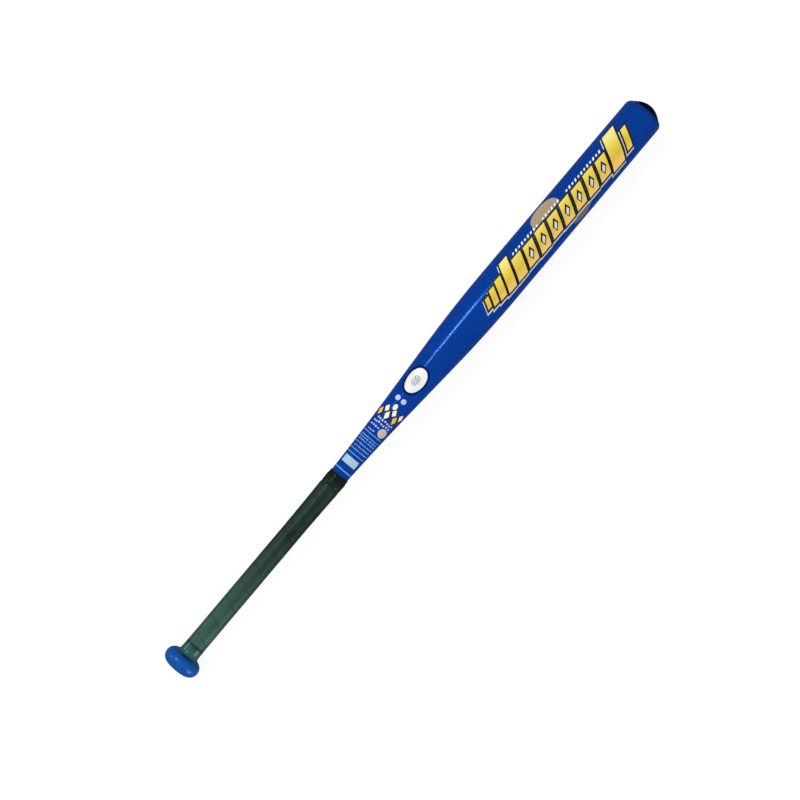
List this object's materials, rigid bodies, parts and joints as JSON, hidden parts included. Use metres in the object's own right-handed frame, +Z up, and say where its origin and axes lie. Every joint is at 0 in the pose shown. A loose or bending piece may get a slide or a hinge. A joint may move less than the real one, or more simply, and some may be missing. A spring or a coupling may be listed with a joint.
{
  "type": "softball bat",
  "caption": "Hollow alloy softball bat: slim round barrel, long taper, spiral-wrapped handle, rounded knob and domed end cap.",
  "frame": {"origin": "on the floor under the middle of the bat's length, with the barrel lying on the floor and the bat's axis level", "axes": "+X along the bat from the knob to the end cap, +Z up out of the floor, +Y level across the bat"},
  "size_m": [0.84, 0.0496, 0.0496],
  "materials": {
    "blue_shell": "gloss",
    "blue_knob": "gloss",
    "black_rubber": "matte",
    "black_cap": "satin",
    "foam": "matte",
    "green_rubber": "satin",
    "green_leather": "matte",
    "dark_tape": "satin",
    "white_sticker": "satin"
  },
  "bodies": {
    "root": {"bat_shell": "blue_shell", "knob": "blue_knob", "knob_plug": "black_rubber", "end_cap": "black_cap", "damping_foam": "foam", "grip_start_band": "green_rubber", "grip_wrap": "green_leather", "grip_finish_tape": "dark_tape", "oval_sticker": "white_sticker"}
  },
  "joints": []
}
